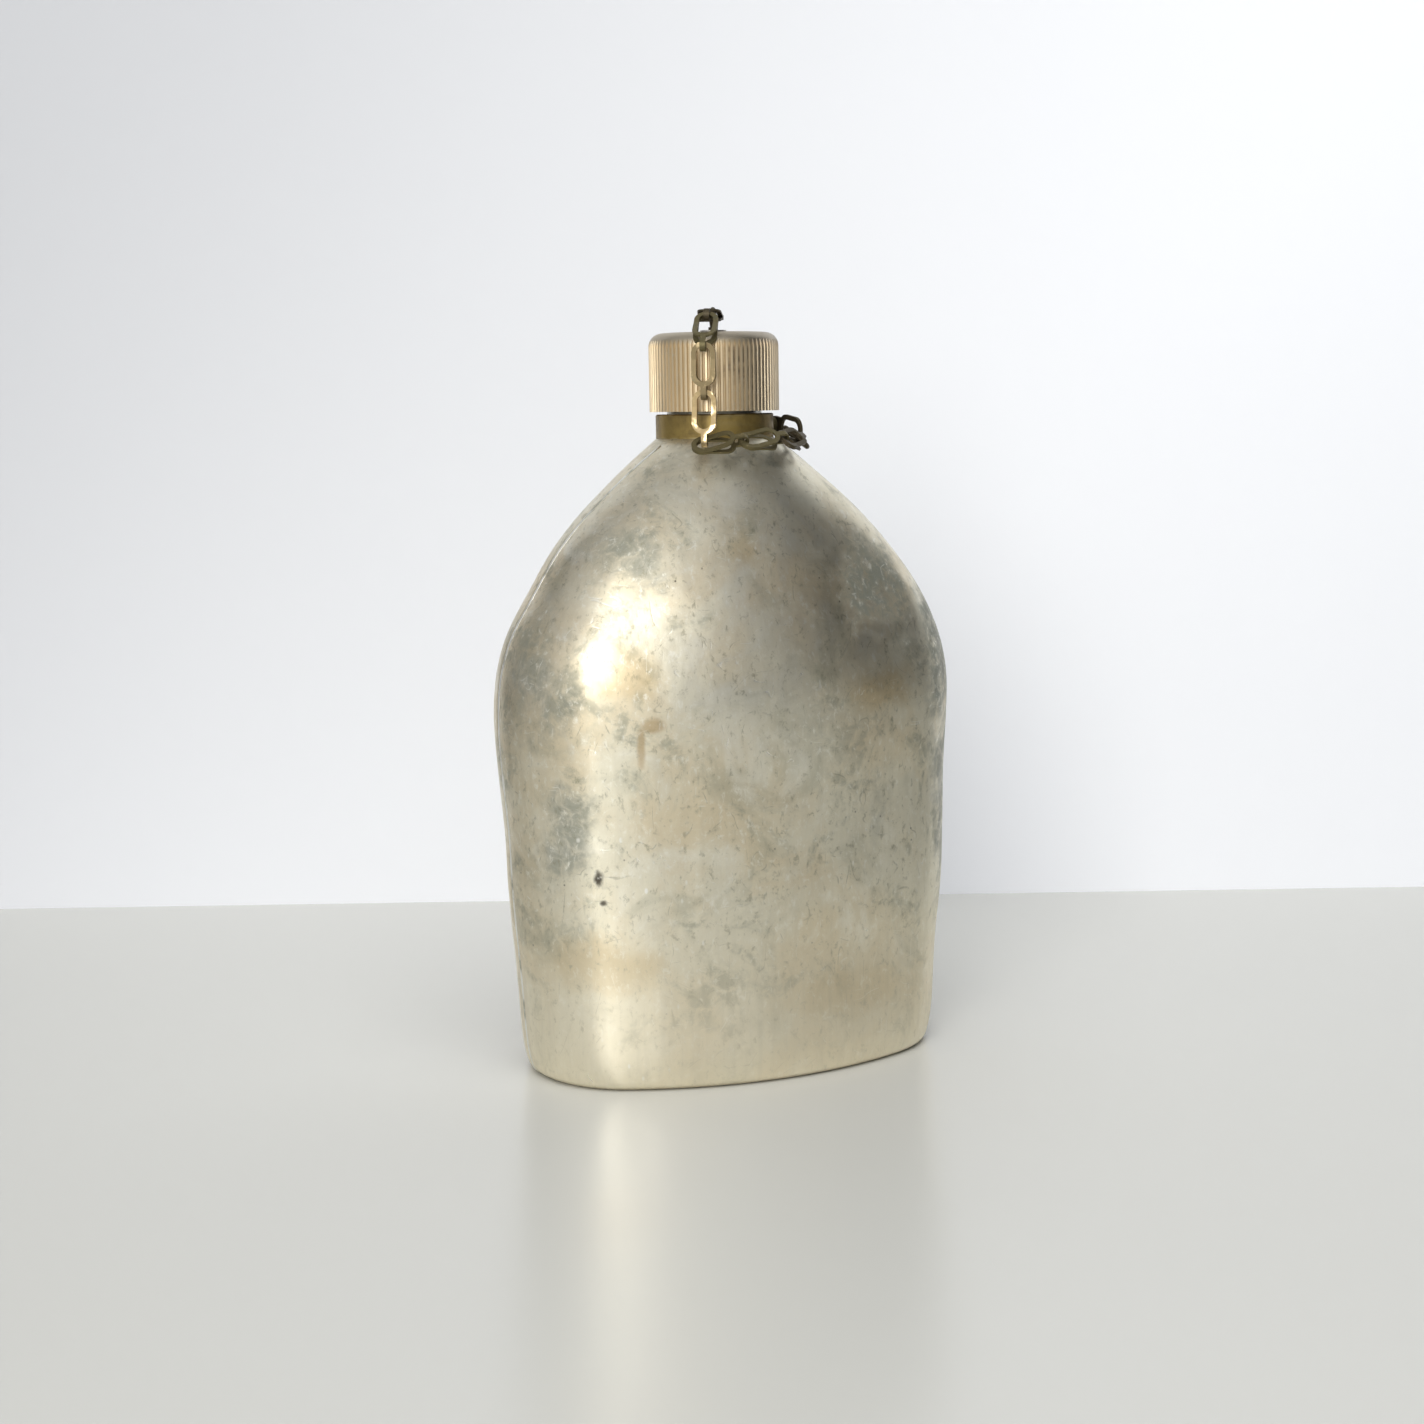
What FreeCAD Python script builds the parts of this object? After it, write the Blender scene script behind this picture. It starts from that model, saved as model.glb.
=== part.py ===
"""One-quart kidney-shaped aluminium canteen with a screw cap held by a folded-link safety chain.

Frame: millimetres, +Z up. The origin is on the resting plane, on the axis of the neck.
The convex front faces -Y, the hollow back that lies against the hip faces +Y.
Azimuth is measured round the neck axis from the front (-Y) towards +X.
"""
import FreeCAD
import Part
import math
import os

Vector = FreeCAD.Vector
UP = Vector(0, 0, 1)

# ---- driving dimensions of the bottle
BODY_WIDTH = 130.6        # widest part of the kidney
BASE_WIDTH = 116.0        # width at the base
WIDEST_Z = 98.0           # height of the widest part
SHOULDER_Z = 170.4        # where the shoulder meets the neck band
SHOULDER_POWER = 2.0      # the shoulder turns from kidney to circle with this power of the rise
BASE_DEPTH_RATIO = 0.94   # the base is this much shallower than the widest part
SIDE_POWER = 1.6          # how soon the sides swell above the base
END_RADIUS = 31.0         # the two narrow ends of the kidney
FRONT_RADIUS = 121.0      # convex front
BACK_RADIUS = 154.0       # hollow back
END_CENTRE_Y = -4.9       # the ends' centres, which also lie in the weld plane
BASE_CORNER = 3.2         # rounded corner round the base
WALL = 1.2                # sheet thickness
NECK_TOP_R = 16.05        # the shoulder ends in this circle
BEAD_WIDTH = 1.6          # weld bead round the narrow ends
BEAD_PROUD = 0.3
NECK_WELD_LEG = 1.2       # fillet of weld inside the shoulder

# ---- how finely the bottle's curved outlines are taken
ARC_POINTS = 12           # along the front and along each end
BACK_POINTS = 8
CORNER_SECTIONS = 4
SIDE_SECTIONS = 5
SHOULDER_SECTIONS = 8

# ---- neck, band and cap
BORE_R = 11.4
SPIGOT_R = 13.0           # the neck passes through the shoulder at this radius
SPIGOT_DEPTH = 4.2
SEAT_R = 15.05            # the band is clamped on this ring of the neck
BAND_HEIGHT = 6.5
BAND_SHEET = 1.0
BAND_CHAMFER = 0.35
RIM_GAP = 0.7             # between the band and the cap's rim
CAP_HEIGHT = 21.0
CAP_R = 17.65
CAP_CORNER = 3.6
CAP_TOP_SHEET = 2.2
CAP_INSIDE_R = 14.6
RIDGES = 80
RIDGE_DEPTH = 0.42
RIDGE_RISE = 0.28         # share of a ridge's pitch where its flank starts to rise
RIDGE_TOP = 0.48          # where the flank reaches the crest
RIDGE_FALL = 0.80         # where the crest ends
RIDGE_SPARE = 0.1         # the ridged outline stands clear of the cap's round by this much
GASKET_HEIGHT = 4.0
GASKET_R = 14.3
LIP_ROUND = 0.6

# ---- screw thread
LEAD = 4.2
NECK_ROOT_R = 12.9
NECK_CREST_R = 13.9
CAP_CREST_R = 13.2
THREAD_BASE = 1.6
THREAD_TOP = 0.9
THREAD_BURY = 0.3         # the ridge is rooted this deep in its wall
LIP_PLAIN = 2.0           # plain length of neck above its thread
RIM_PLAIN = 1.2           # plain length of cap below its thread
NECK_TURNS = 2.25
CAP_TURNS = 2.0

# ---- swivel pin
PIN_R = 1.3
RUNNING_GAP = 0.06
PIN_END_GAP = 0.1
PIN_HEAD_R = 2.4
PIN_HEAD_HEIGHT = 0.7
WASHER_R = 5.0
WASHER_SHEET = 0.7
TOP_WASHER_R = 3.6
RING_R = 2.35             # centre line of the pin's ring
RING_WIRE_R = 0.72

# ---- folded chain link
STRIP = 0.55              # sheet thickness of a link
STRAND = 1.3              # width of the metal round the eye
EYE_WIDTH = 6.4
EYE_LENGTH = 11.7
BRIDGE_WIDTH = 1.5
PITCH = 12.4
FOLD_R = 1.1              # inside radius of the folded bridge
BOW_SETBACK = 0.5         # a bow sits this far back from the fold's centre
PINCHED_LENGTH = 4.6      # the two layers are pinched together at the eye's end
PINCHED_GAP = 0.06

# ---- where the chain runs: each link folds over the one before, then turns in its own plane
CHAIN_AZIMUTH = -29.0
CHAIN_START_TILT = 2.5    # the first link rises this much from the pin's ring
CHAIN_ROUTE = [
    (0.0, 0.0),
    (42.0, 0.0),
    (52.0, 0.0),
    (-4.0, 0.0),
    (-50.0, 102.0),
    (20.0, 22.0),
    (26.0, 26.0),
]
END_RING_FOLD = 20.0
END_RING_TURN = 44.0
END_RING_WIRE_R = 0.65
END_RING_SPAN = 11.0      # between the centre lines of its two bows
END_RING_WIDTH = 4.6      # between the centre lines of its two sides

# ---- rivet and swinging anchor link on the band
RIVET_AZIMUTH = 95.0
RIVET_Z = SHOULDER_Z + 0.5 * BAND_HEIGHT
RIVET_R = 1.1
RIVET_HEAD_R = 2.0
RIVET_HEAD_HEIGHT = 0.7
ANCHOR_PLANE_R = 18.9     # distance of the anchor link's middle plane from the neck axis
ANCHOR_SHEET = 0.8
ANCHOR_EYE_R = 2.4
ANCHOR_REACH = 14.2       # from the rivet to the middle of the far bow
ANCHOR_WIDTH = 7.2
ANCHOR_LAND = 1.6         # metal between the rivet's eye and the slot
ANCHOR_ANGLE = -8.0       # below the horizontal at rest
SPACER_R = 2.0

PAST = 1.0                # cutting shapes run on past the surface by this much

# ---- worked out
BAND_TOP = SHOULDER_Z + BAND_HEIGHT
RIM_Z = BAND_TOP + RIM_GAP
CAP_TOP = RIM_Z + CAP_HEIGHT
CEILING = CAP_TOP - CAP_TOP_SHEET
LIP_Z = CEILING - GASKET_HEIGHT
BAND_R = SEAT_R + BAND_SHEET
BOW = STRAND / 2
FOLD_X = BOW + PITCH + BOW_SETBACK
EYE_R = EYE_WIDTH / 2
ARC_BACK = EYE_R - BOW


def azimuth(degrees):
    """Unit vector pointing away from the neck axis at this azimuth."""
    angle = math.radians(degrees)
    return Vector(math.sin(angle), -math.cos(angle), 0)


def cylinder(radius, low, high):
    return Part.makeCylinder(radius, high - low, Vector(0, 0, low))


def tube(outer, inner, low, high):
    return cylinder(outer, low, high).cut(cylinder(inner, low, high))


def polygon_face(points):
    return Part.Face(Part.makePolygon(points + [points[0]]))


def revolve(points):
    """Solid of revolution round the neck axis from (radius, height) points."""
    face = polygon_face([Vector(radius, 0, height) for radius, height in points])
    return face.revolve(Vector(0, 0, 0), UP, 360)


# ---------------------------------------------------------------- bottle
def arc_points(centre, radius, start, end, count):
    """Evenly spread points from start to end, leaving the end out."""
    steps = [start + (end - start) * i / count for i in range(count)]
    return [(centre[0] + radius * math.cos(a), centre[1] + radius * math.sin(a)) for a in steps]


def kidney():
    """Outline of the widest part: four tangent arcs, anticlockwise from the left end's front."""
    end_x = BODY_WIDTH / 2 - END_RADIUS
    front_y = END_CENTRE_Y + math.sqrt((FRONT_RADIUS - END_RADIUS) ** 2 - end_x ** 2)
    back_y = END_CENTRE_Y + math.sqrt((BACK_RADIUS + END_RADIUS) ** 2 - end_x ** 2)
    front_half = math.asin(end_x / (FRONT_RADIUS - END_RADIUS))
    back_half = math.asin(end_x / (BACK_RADIUS + END_RADIUS))
    down = -math.pi / 2
    up = math.pi / 2
    front = arc_points((0, front_y), FRONT_RADIUS, down - front_half, down + front_half, ARC_POINTS)
    right = arc_points((end_x, END_CENTRE_Y), END_RADIUS, down + front_half, up + back_half, ARC_POINTS)
    back = arc_points((0, back_y), BACK_RADIUS, down + back_half, down - back_half, BACK_POINTS)
    left = arc_points((-end_x, END_CENTRE_Y), END_RADIUS, up - back_half, 3 * up - front_half, ARC_POINTS)
    return front + right + back + left


def level(height):
    """How the outline has changed at a height: width factor, depth factor, share of the neck's circle."""
    if height <= WIDEST_Z:
        rise = height / WIDEST_Z
        swell = 1 - (1 - rise) ** SIDE_POWER
        width = (BASE_WIDTH + (BODY_WIDTH - BASE_WIDTH) * swell) / BODY_WIDTH
        depth = BASE_DEPTH_RATIO + (1 - BASE_DEPTH_RATIO) * rise
        return width, depth, 0.0
    rise = (height - WIDEST_Z) / (SHOULDER_Z - WIDEST_Z)
    return 1.0, 1.0, rise ** SHOULDER_POWER


def outline(height, inset):
    """Points of the bottle's outline at a height, moved inwards by inset."""
    width, depth, share = level(height)
    points = []
    for x, y in kidney():
        angle = math.atan2(y, x)
        points.append(Vector(
            (1 - share) * x * width + share * NECK_TOP_R * math.cos(angle),
            (1 - share) * y * depth + share * NECK_TOP_R * math.sin(angle),
            height))
    moved = []
    for i, point in enumerate(points):
        along = points[(i + 1) % len(points)] - points[i - 1]
        moved.append(point + UP.cross(along).normalize() * inset)
    return moved


def section(height, inset, set_at):
    """Closed smooth wire of the outline taken at one height and set at another."""
    curve = Part.BSplineCurve()
    points = [Vector(p.x, p.y, set_at) for p in outline(height, inset)]
    shares = [i / len(points) for i in range(len(points) + 1)]
    curve.interpolate(Points=points, PeriodicFlag=True, Parameters=shares)
    return Part.Wire(curve.toShape())


def bottle_solid(inset):
    """The bottle's outside moved inwards by inset, or outwards where inset is below zero."""
    floor = max(inset, 0.0)
    corner = BASE_CORNER - inset
    wires = []
    for i in range(CORNER_SECTIONS):
        turn = math.pi / 2 * i / CORNER_SECTIONS
        height = floor + corner * (1 - math.cos(turn))
        wires.append(section(height, inset + corner * (1 - math.sin(turn)), height))
    for i in range(SIDE_SECTIONS):
        height = floor + corner + (WIDEST_Z - floor - corner) * i / SIDE_SECTIONS
        wires.append(section(height, inset, height))
    for i in range(SHOULDER_SECTIONS + 1):
        rise = i / SHOULDER_SECTIONS
        height = WIDEST_Z + (SHOULDER_Z - WIDEST_Z) * rise
        set_at = WIDEST_Z + (SHOULDER_Z - floor - WIDEST_Z) * rise
        wires.append(section(height, inset, set_at))
    return Part.makeLoft(wires, True, False)


def half_space(front, y):
    """Block that holds everything in front of, or behind, the plane at y."""
    reach = BODY_WIDTH
    start = y - reach if front else y
    return Part.makeBox(2 * reach, reach, CAP_TOP, Vector(-reach, start, -PAST))


def shells():
    """The front and back halves of the drawn sheet, parted in the plane of the weld."""
    outside = bottle_solid(0.0)
    hollow = bottle_solid(WALL)
    neck_hole = cylinder(SPIGOT_R, SHOULDER_Z - SPIGOT_DEPTH, SHOULDER_Z + PAST)
    sheet = outside.cut(hollow).cut(neck_hole)
    return sheet.common(half_space(True, END_CENTRE_Y)), sheet.common(half_space(False, END_CENTRE_Y))


def seam_weld():
    """Raised bead over the joint of the two shells, dressed flush under the base and at the neck."""
    slab = Part.makeBox(
        2 * BODY_WIDTH, BEAD_WIDTH, SHOULDER_Z - 2 * BASE_CORNER,
        Vector(-BODY_WIDTH, END_CENTRE_Y - BEAD_WIDTH / 2, BASE_CORNER))
    return bottle_solid(-BEAD_PROUD).common(slab).cut(bottle_solid(0.0))


# ---------------------------------------------------------------- neck and band
def thread_ridge(wall_r, crest_r, low, turns, start_angle):
    """Helical ridge of trapezoid section standing on a wall, right-handed."""
    root = wall_r + math.copysign(THREAD_BURY, wall_r - crest_r)
    flank = (THREAD_BASE - THREAD_TOP) / 2 / abs(wall_r - crest_r)
    top = THREAD_TOP / 2
    base = top + flank * abs(root - crest_r)
    profile = Part.makePolygon([
        Vector(root, 0, -base), Vector(crest_r, 0, -top), Vector(crest_r, 0, top),
        Vector(root, 0, base), Vector(root, 0, -base)])
    path = Part.Wire(Part.makeHelix(LEAD, LEAD * turns, crest_r))
    ridge = path.makePipeShell([profile], True, True)
    ridge.rotate(Vector(0, 0, 0), UP, start_angle)
    ridge.translate(Vector(0, 0, low))
    return ridge


def neck_thread_low():
    """Height where the middle of the neck's thread starts."""
    return LIP_Z - LIP_PLAIN - THREAD_BASE / 2 - LEAD * NECK_TURNS


def neck():
    """Turned spout: spigot, seat for the band and threaded lip."""
    inside = SHOULDER_Z - SPIGOT_DEPTH
    body = revolve([
        (BORE_R, inside), (SPIGOT_R, inside), (SPIGOT_R, SHOULDER_Z), (SEAT_R, SHOULDER_Z),
        (SEAT_R, BAND_TOP), (NECK_ROOT_R, BAND_TOP), (NECK_ROOT_R, LIP_Z - LIP_ROUND),
        (NECK_ROOT_R - LIP_ROUND, LIP_Z), (BORE_R, LIP_Z)])
    return body.fuse(thread_ridge(NECK_ROOT_R, NECK_CREST_R, neck_thread_low(), NECK_TURNS, 0))


def neck_weld():
    """Fillet of weld inside the shoulder, round the neck's spigot."""
    top = SHOULDER_Z - WALL
    return revolve([(SPIGOT_R, top - NECK_WELD_LEG), (SPIGOT_R + NECK_WELD_LEG, top), (SPIGOT_R, top)])


def neck_band():
    """Clamped strap, with its top edge broken, pierced for the rivet."""
    body = revolve([
        (SEAT_R, SHOULDER_Z), (BAND_R, SHOULDER_Z), (BAND_R, BAND_TOP - BAND_CHAMFER),
        (BAND_R - BAND_CHAMFER, BAND_TOP), (SEAT_R, BAND_TOP)])
    return body.cut(radial_cylinder(RIVET_R, 0, ANCHOR_PLANE_R))


def radial_cylinder(radius, start, end):
    """Cylinder on the rivet's axis between two distances from the neck axis."""
    out = azimuth(RIVET_AZIMUTH)
    return Part.makeCylinder(radius, end - start, out * start + UP * RIVET_Z, out)


def band_rivet():
    """Rivet through the band: its inner end is flush with the curved inside of the strap."""
    head = ANCHOR_PLANE_R + ANCHOR_SHEET / 2 + RUNNING_GAP
    shank = radial_cylinder(RIVET_R, 0, head)
    cap = radial_cylinder(RIVET_HEAD_R, head, head + RIVET_HEAD_HEIGHT)
    return shank.fuse(cap).cut(cylinder(SEAT_R, 0, CAP_TOP))


def band_spacer():
    """Sleeve that holds the anchor link clear of the band."""
    outer_end = ANCHOR_PLANE_R - ANCHOR_SHEET / 2 - RUNNING_GAP
    sleeve = radial_cylinder(SPACER_R, 0, outer_end).cut(radial_cylinder(RIVET_R, 0, outer_end))
    return sleeve.cut(cylinder(BAND_R, 0, CAP_TOP))


def obround(first, last, width):
    """Face in the XY plane: a slot outline whose round ends reach from first to last along X."""
    radius = width / 2
    start = first + radius
    end = last - radius
    upper = Part.makeLine(Vector(end, radius, 0), Vector(start, radius, 0))
    left = Part.Arc(Vector(start, radius, 0), Vector(first, 0, 0), Vector(start, -radius, 0)).toShape()
    lower = Part.makeLine(Vector(start, -radius, 0), Vector(end, -radius, 0))
    right = Part.Arc(Vector(end, -radius, 0), Vector(last, 0, 0), Vector(end, radius, 0)).toShape()
    return Part.Face(Part.Wire([upper, left, lower, right]))


def place(shape, origin, along, normal):
    """Moves a shape so that its own X runs along, its own Z is the normal and its origin is at origin."""
    side = normal.cross(along)
    matrix = FreeCAD.Matrix(
        along.x, side.x, normal.x, origin.x,
        along.y, side.y, normal.y, origin.y,
        along.z, side.z, normal.z, origin.z,
        0, 0, 0, 1)
    moved = shape.copy()
    moved.Placement = FreeCAD.Placement(matrix).multiply(shape.Placement)
    return moved


def anchor_link():
    """Flat slotted link that swings on the rivet and holds the chain's end ring."""
    far = ANCHOR_REACH + BOW
    slot_start = ANCHOR_EYE_R + ANCHOR_LAND
    thickness = Vector(0, 0, ANCHOR_SHEET)
    tongue = obround(-ANCHOR_EYE_R, slot_start + ANCHOR_WIDTH / 2, 2 * ANCHOR_EYE_R).extrude(thickness)
    loop = obround(slot_start - STRAND, far, ANCHOR_WIDTH).extrude(thickness)
    slot = obround(slot_start, far - STRAND, ANCHOR_WIDTH - 2 * STRAND).extrude(thickness)
    plate = tongue.fuse(loop).cut(slot)
    plate = plate.cut(Part.makeCylinder(RIVET_R + RUNNING_GAP, ANCHOR_SHEET))
    plate.translate(Vector(0, 0, -ANCHOR_SHEET / 2))
    out = azimuth(RIVET_AZIMUTH)
    back = azimuth(RIVET_AZIMUTH - 90)
    angle = math.radians(ANCHOR_ANGLE)
    along = back * math.cos(angle) + UP * math.sin(angle)
    return place(plate, out * ANCHOR_PLANE_R + UP * RIVET_Z, along, out)


# ---------------------------------------------------------------- cap
def ridged_prism():
    """Prism whose outline is the ring of fine grip ridges."""
    valley = CAP_R - RIDGE_DEPTH
    crest = CAP_R + RIDGE_SPARE
    corners = [(valley, 0), (valley, RIDGE_RISE), (crest, RIDGE_TOP), (crest, RIDGE_FALL)]
    step = 2 * math.pi / RIDGES
    points = []
    for i in range(RIDGES):
        for radius, share in corners:
            angle = step * (i + share)
            points.append(Vector(radius * math.cos(angle), radius * math.sin(angle), RIM_Z - PAST))
    return polygon_face(points).extrude(Vector(0, 0, CAP_HEIGHT + 2 * PAST))


def cap_blank():
    """Outside of the cap before ridging: a cylinder with a rounded top corner."""
    low = Vector(CAP_R, 0, RIM_Z)
    side = Vector(CAP_R, 0, CAP_TOP - CAP_CORNER)
    flat = Vector(CAP_R - CAP_CORNER, 0, CAP_TOP)
    bulge = CAP_CORNER * (1 - math.sqrt(0.5))
    middle = Vector(CAP_R - bulge, 0, CAP_TOP - bulge)
    bottom = Vector(0, 0, RIM_Z)
    top = Vector(0, 0, CAP_TOP)
    edges = [
        Part.makeLine(bottom, low), Part.makeLine(low, side), Part.Arc(side, middle, flat).toShape(),
        Part.makeLine(flat, top), Part.makeLine(top, bottom)]
    blank = Part.Face(Part.Wire(edges)).revolve(Vector(0, 0, 0), UP, 360)
    # the line where the revolved surface closes is turned onto a ridge's flank, clear of its corners
    blank.rotate(Vector(0, 0, 0), UP, (RIDGE_RISE + RIDGE_TOP) / 2 * 360 / RIDGES)
    return blank


def cap_shell():
    """Ridged cap, bored for the neck and for the swivel pin, with its thread."""
    body = cap_blank().common(ridged_prism())
    body = body.cut(cylinder(CAP_INSIDE_R, RIM_Z - PAST, CEILING))
    body = body.cut(cylinder(PIN_R + RUNNING_GAP, CEILING - PAST, CAP_TOP + PAST))
    low = RIM_Z + RIM_PLAIN + THREAD_BASE / 2
    # half a lead from the neck's ridge wherever the two threads pass each other
    angle = 360 * (low - neck_thread_low() + LEAD / 2) / LEAD
    return body.fuse(thread_ridge(CAP_INSIDE_R, CAP_CREST_R, low, CAP_TURNS, angle))


def cap_gasket():
    """Cork disc that the neck's lip is pressed into."""
    return tube(GASKET_R, PIN_R + RUNNING_GAP, LIP_Z, CEILING)


def gasket_washer():
    """Washer that holds the cork up, inside the lip."""
    return tube(WASHER_R, PIN_R + RUNNING_GAP, LIP_Z - WASHER_SHEET, LIP_Z)


def top_washer():
    """Washer between the cap's top and the pin's ring."""
    return tube(TOP_WASHER_R, PIN_R + RUNNING_GAP, CAP_TOP, CAP_TOP + WASHER_SHEET)


def ring_centre():
    """Centre of the ring that heads the swivel pin."""
    lift = WASHER_SHEET + PIN_END_GAP + RING_R + RING_WIRE_R
    return Vector(0, 0, CAP_TOP + lift)


def swivel_pin():
    """Headed pin through the cap, with a ring at its top that the chain hangs from."""
    head_top = LIP_Z - WASHER_SHEET - PIN_END_GAP
    centre = ring_centre()
    across = UP.cross(azimuth(CHAIN_AZIMUTH))
    shank = cylinder(PIN_R, head_top, centre.z - RING_R)
    head = cylinder(PIN_HEAD_R, head_top - PIN_HEAD_HEIGHT, head_top)
    ring = Part.makeTorus(RING_R, RING_WIRE_R, centre, across)
    eye = Part.makeCylinder(RING_R - RING_WIRE_R, 4 * PIN_R, centre - across * 2 * PIN_R, across)
    return shank.fuse(head).cut(eye).fuse(ring)


# ---------------------------------------------------------------- chain
def link_side():
    """Side view of a folded link in the XZ plane: pinched at the eye's end, open at the fold."""
    low = PINCHED_GAP / 2
    flare = EYE_LENGTH - STRAND
    outer = FOLD_R + STRIP

    def leg(sign):
        return [
            Vector(FOLD_X, 0, sign * FOLD_R), Vector(flare, 0, sign * FOLD_R),
            Vector(PINCHED_LENGTH, 0, sign * low), Vector(0, 0, sign * low),
            Vector(0, 0, sign * (low + STRIP)), Vector(PINCHED_LENGTH, 0, sign * (low + STRIP)),
            Vector(flare, 0, sign * outer), Vector(FOLD_X, 0, sign * outer)]

    upper = Part.makePolygon(leg(1)).Edges
    lower = Part.makePolygon(leg(-1)).Edges
    outside = Part.Arc(Vector(FOLD_X, 0, outer), Vector(FOLD_X + outer, 0, 0), Vector(FOLD_X, 0, -outer))
    inside = Part.Arc(Vector(FOLD_X, 0, FOLD_R), Vector(FOLD_X + FOLD_R, 0, 0), Vector(FOLD_X, 0, -FOLD_R))
    edges = upper + lower + [outside.toShape(), inside.toShape()]
    return Part.Face(Part.Wire(Part.__sortEdges__(edges)))


def chain_link():
    """One stamped link, folded over at its narrow bridge, lying along X from its eye's end."""
    strip = link_side()
    strip.translate(Vector(0, -EYE_R, 0))
    strip = strip.extrude(Vector(0, EYE_WIDTH, 0))
    tall = 2 * (FOLD_R + STRIP)
    end = FOLD_X + tall
    bridge = Part.makeBox(end - EYE_LENGTH + STRAND, BRIDGE_WIDTH, tall,
                          Vector(EYE_LENGTH - STRAND, -BRIDGE_WIDTH / 2, 0))
    blank = obround(0, EYE_LENGTH, EYE_WIDTH).extrude(Vector(0, 0, tall)).fuse(bridge)
    hole = obround(STRAND, EYE_LENGTH - STRAND, EYE_WIDTH - 2 * STRAND).extrude(Vector(0, 0, tall))
    stamped = blank.cut(hole)
    stamped.translate(Vector(0, 0, -tall / 2))
    link = strip.common(stamped)
    link.translate(Vector(-BOW, 0, 0))
    return link.Solids[0]


def turned(first, second, angle):
    """The first vector turned towards the second, which is square to it."""
    return first * math.cos(angle) + second * math.sin(angle)


def next_frame(bow, along, normal, fold, turn):
    """Bow position, direction and normal of the next link after folding and turning at this bow."""
    fold = math.radians(fold)
    turn = math.radians(turn)
    folded = turned(along, -normal, fold)
    normal = turned(normal, along, fold)
    centre = bow + folded * ARC_BACK
    along = turned(folded, normal.cross(folded), turn)
    return centre - along * ARC_BACK, along, normal


def chain_frames():
    """Bow position, direction and normal of every link in turn, and then of the end ring."""
    out = azimuth(CHAIN_AZIMUTH)
    tilt = math.radians(CHAIN_START_TILT)
    frame = (ring_centre(), turned(out, UP, tilt), turned(UP, -out, tilt))
    frames = []
    for fold, turn in CHAIN_ROUTE + [(END_RING_FOLD, END_RING_TURN)]:
        bow, along, normal = next_frame(*frame, fold, turn)
        frames.append((bow, along, normal))
        frame = (bow + along * PITCH, along, normal)
    return frames


def half_ring(centre, facing):
    """The half of a wire ring round the centre that lies on the side facing along X."""
    radius = END_RING_WIDTH / 2
    ring = Part.makeTorus(radius, END_RING_WIRE_R, centre, UP)
    start = 0 if facing > 0 else -2 * radius
    keep = Part.makeBox(2 * radius, 4 * radius, 2 * radius, centre + Vector(start, -2 * radius, -radius))
    return ring.common(keep)


def end_ring():
    """Oval wire ring lying along X, with its first bow's centre line through the origin."""
    radius = END_RING_WIDTH / 2
    first = Vector(radius, 0, 0)
    last = Vector(END_RING_SPAN - radius, 0, 0)
    wire = half_ring(first, -1).fuse(half_ring(last, 1))
    for y in (-radius, radius):
        start = first + Vector(0, y, 0)
        wire = wire.fuse(Part.makeCylinder(END_RING_WIRE_R, last.x - first.x, start, Vector(1, 0, 0)))
    return wire


# ---------------------------------------------------------------- write every piece
def pieces():
    front, back = shells()
    made = {
        "front_shell": front,
        "back_shell": back,
        "seam_weld": seam_weld(),
        "neck": neck(),
        "neck_weld": neck_weld(),
        "neck_band": neck_band(),
        "band_rivet": band_rivet(),
        "band_spacer": band_spacer(),
        "anchor_link": anchor_link(),
        "cap_shell": cap_shell(),
        "cap_gasket": cap_gasket(),
        "gasket_washer": gasket_washer(),
        "top_washer": top_washer(),
        "swivel_pin": swivel_pin(),
    }
    frames = chain_frames()
    link = chain_link()
    for number, frame in enumerate(frames[:-1], 1):
        made["link_%d" % number] = place(link, *frame)
    made["end_ring"] = place(end_ring(), *frames[-1])
    return made


if __name__ == "__main__":
    os.makedirs("parts", exist_ok=True)
    for name, shape in pieces().items():
        shape.exportStep("parts/%s.step" % name)
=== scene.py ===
"""Looks of an aged one-quart aluminium canteen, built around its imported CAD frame.

Metres, +Z up. The origin is on the table under the neck's axis and the convex front faces -Y.
"""
import math

import bmesh
import bpy
from mathutils import Matrix, Vector, noise
from mathutils.bvhtree import BVHTree


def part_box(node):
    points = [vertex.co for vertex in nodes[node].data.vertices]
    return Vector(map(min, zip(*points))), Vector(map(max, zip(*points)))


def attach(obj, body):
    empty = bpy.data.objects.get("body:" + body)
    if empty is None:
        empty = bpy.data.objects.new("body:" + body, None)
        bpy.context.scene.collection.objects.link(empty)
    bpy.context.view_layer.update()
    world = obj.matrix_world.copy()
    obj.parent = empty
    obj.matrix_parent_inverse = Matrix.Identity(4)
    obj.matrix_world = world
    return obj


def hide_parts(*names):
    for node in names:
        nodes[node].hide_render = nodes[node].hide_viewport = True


MM = 0.001
UP = Vector((0, 0, 1))

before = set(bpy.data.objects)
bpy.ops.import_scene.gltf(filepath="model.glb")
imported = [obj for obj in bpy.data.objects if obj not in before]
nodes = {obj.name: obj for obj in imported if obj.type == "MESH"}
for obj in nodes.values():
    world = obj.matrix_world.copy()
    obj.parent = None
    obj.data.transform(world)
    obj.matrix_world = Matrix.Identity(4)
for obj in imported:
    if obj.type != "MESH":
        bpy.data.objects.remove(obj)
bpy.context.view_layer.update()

# ---- places read from the frame
front_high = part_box("front_shell")[1]
back_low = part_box("back_shell")[0]
band_low, band_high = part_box("neck_band")
cap_low, cap_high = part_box("cap_shell")
SEAM_Y = back_low.y
BODY_TOP = front_high.z
HALF_WIDTH = front_high.x
BAND_R = band_high.x
CAP_R = (cap_high.x - cap_low.x) / 2

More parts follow.
